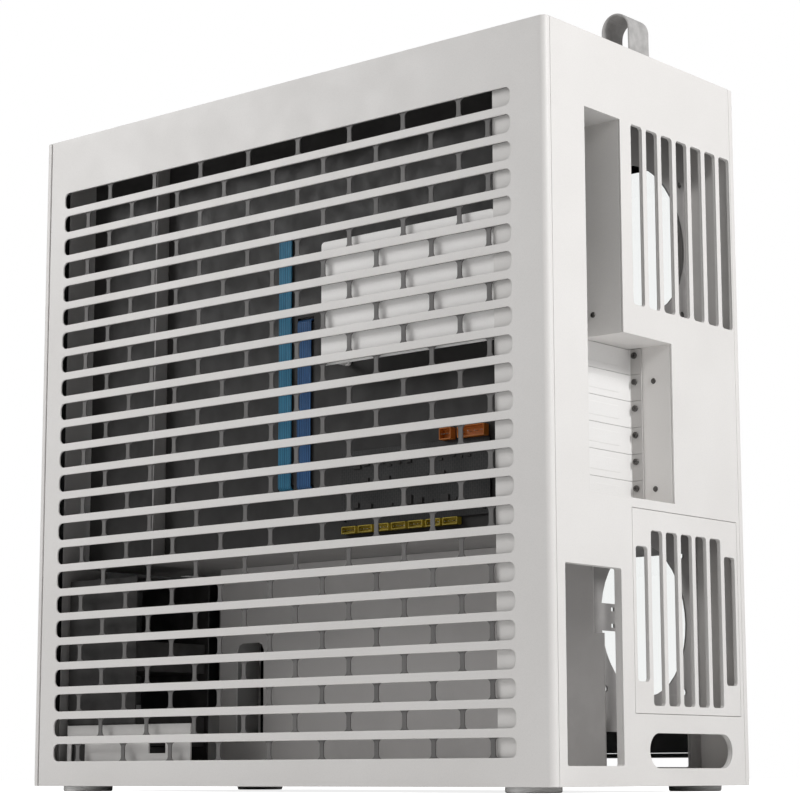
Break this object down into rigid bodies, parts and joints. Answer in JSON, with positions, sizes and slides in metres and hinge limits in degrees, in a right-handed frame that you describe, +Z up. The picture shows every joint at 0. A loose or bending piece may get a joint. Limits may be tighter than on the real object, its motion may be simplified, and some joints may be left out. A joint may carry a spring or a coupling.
{
  "type": "computer tower case",
  "caption": "White upright computer case with a slotted cable side, glass side, stepped rear recess, vertical rear vents and a webbing strap to lift the lid.",
  "frame": {"origin": "on the floor, under the middle of the case", "axes": "+Z up, +Y towards the rear face, +X towards the slotted cable side"},
  "size_m": [0.25, 0.535, 0.586],
  "materials": {
    "white_steel": "satin powder coat",
    "inner_steel": "matte powder coat",
    "charcoal_plastic": "matte",
    "rubber": "matte",
    "foot_rubber": "matte",
    "screw_steel": "black zinc",
    "filter_mesh": "fine mesh",
    "webbing": "woven",
    "tempered_glass": "clear",
    "port_steel": "plated",
    "lead_cyan": "satin",
    "lead_blue": "satin",
    "circuit_board": "satin",
    "socket_yellow": "satin",
    "socket_orange": "satin"
  },
  "bodies": {
    "chassis": {"base_pan": "white_steel", "floor_filter": "filter_mesh", "foot_rear_right": "foot_rubber", "foot_rear_left": "foot_rubber", "foot_front_right": "foot_rubber", "foot_front_left": "foot_rubber", "rear_panel": "white_steel", "lower_vent_plate": "white_steel", "recess_liner": "inner_steel", "inner_rear_plate": "inner_steel", "rear_side_wall_right": "inner_steel", "rear_side_wall_left": "inner_steel", "slot_cover_1": "white_steel", "slot_screw_1": "screw_steel", "slot_cover_2": "white_steel", "slot_screw_2": "screw_steel", "slot_cover_3": "white_steel", "slot_screw_3": "screw_steel", "slot_cover_4": "white_steel", "slot_screw_4": "screw_steel", "slot_cover_5": "white_steel", "slot_screw_5": "screw_steel", "slot_cover_6": "white_steel", "slot_screw_6": "screw_steel", "motherboard_tray": "inner_steel", "grommet_1": "rubber", "grommet_2": "rubber", "grommet_3": "rubber", "cable_cover": "charcoal_plastic", "front_cable_cover": "charcoal_plastic", "front_lead_cyan": "lead_cyan", "front_lead_blue": "lead_blue", "fan_hub": "circuit_board", "hub_sockets_yellow": "socket_yellow", "hub_sockets_orange": "socket_orange", "psu_partition": "inner_steel", "psu_support": "rubber", "chamber_shelf": "inner_steel", "drive_cage": "charcoal_plastic", "drive_tray_1": "charcoal_plastic", "drive_tray_2": "charcoal_plastic", "front_frame": "inner_steel", "top_frame": "inner_steel", "socket_strip": "white_steel", "usb_socket_1": "port_steel", "usb_socket_2": "port_steel", "usb_c_socket": "port_steel"},
    "slotted_side": {"side_panel": "white_steel", "rib_sheet": "inner_steel"},
    "glass_side": {"glass_frame": "white_steel", "glass_gasket": "rubber", "glass_pane": "tempered_glass"},
    "lid": {"top_panel": "white_steel", "top_filter": "filter_mesh", "pull_strap": "webbing"},
    "front": {"front_panel": "white_steel", "front_filter": "filter_mesh"},
    "power_button": {"power_button": "white_steel"},
    "reset_button": {"reset_button": "white_steel"},
    "drive_plate": {"drive_plate": "white_steel"}
  },
  "joints": [
    {"name": "slotted_side_pull", "type": "slide", "parent": "chassis", "child": "slotted_side", "axis": [1, 0, 0], "range_m": [0, 0.04]},
    {"name": "glass_side_pull", "type": "slide", "parent": "chassis", "child": "glass_side", "axis": [-1, 0, 0], "range_m": [0, 0.04]},
    {"name": "lid_lift", "type": "slide", "parent": "chassis", "child": "lid", "axis": [0, 0, 1], "range_m": [0, 0.04]},
    {"name": "front_pull", "type": "slide", "parent": "chassis", "child": "front", "axis": [0, -1, 0], "range_m": [0, 0.04]},
    {"name": "power_button_press", "type": "slide", "parent": "chassis", "child": "power_button", "axis": [0, 0, -1], "range_m": [0, 0.0015], "stiffness_N_per_m": 400},
    {"name": "reset_button_press", "type": "slide", "parent": "chassis", "child": "reset_button", "axis": [0, 0, -1], "range_m": [0, 0.001], "stiffness_N_per_m": 300},
    {"name": "drive_plate_unhook", "type": "slide", "parent": "chassis", "child": "drive_plate", "axis": [0, 0, 1], "range_m": [0, 0.008]}
  ]
}
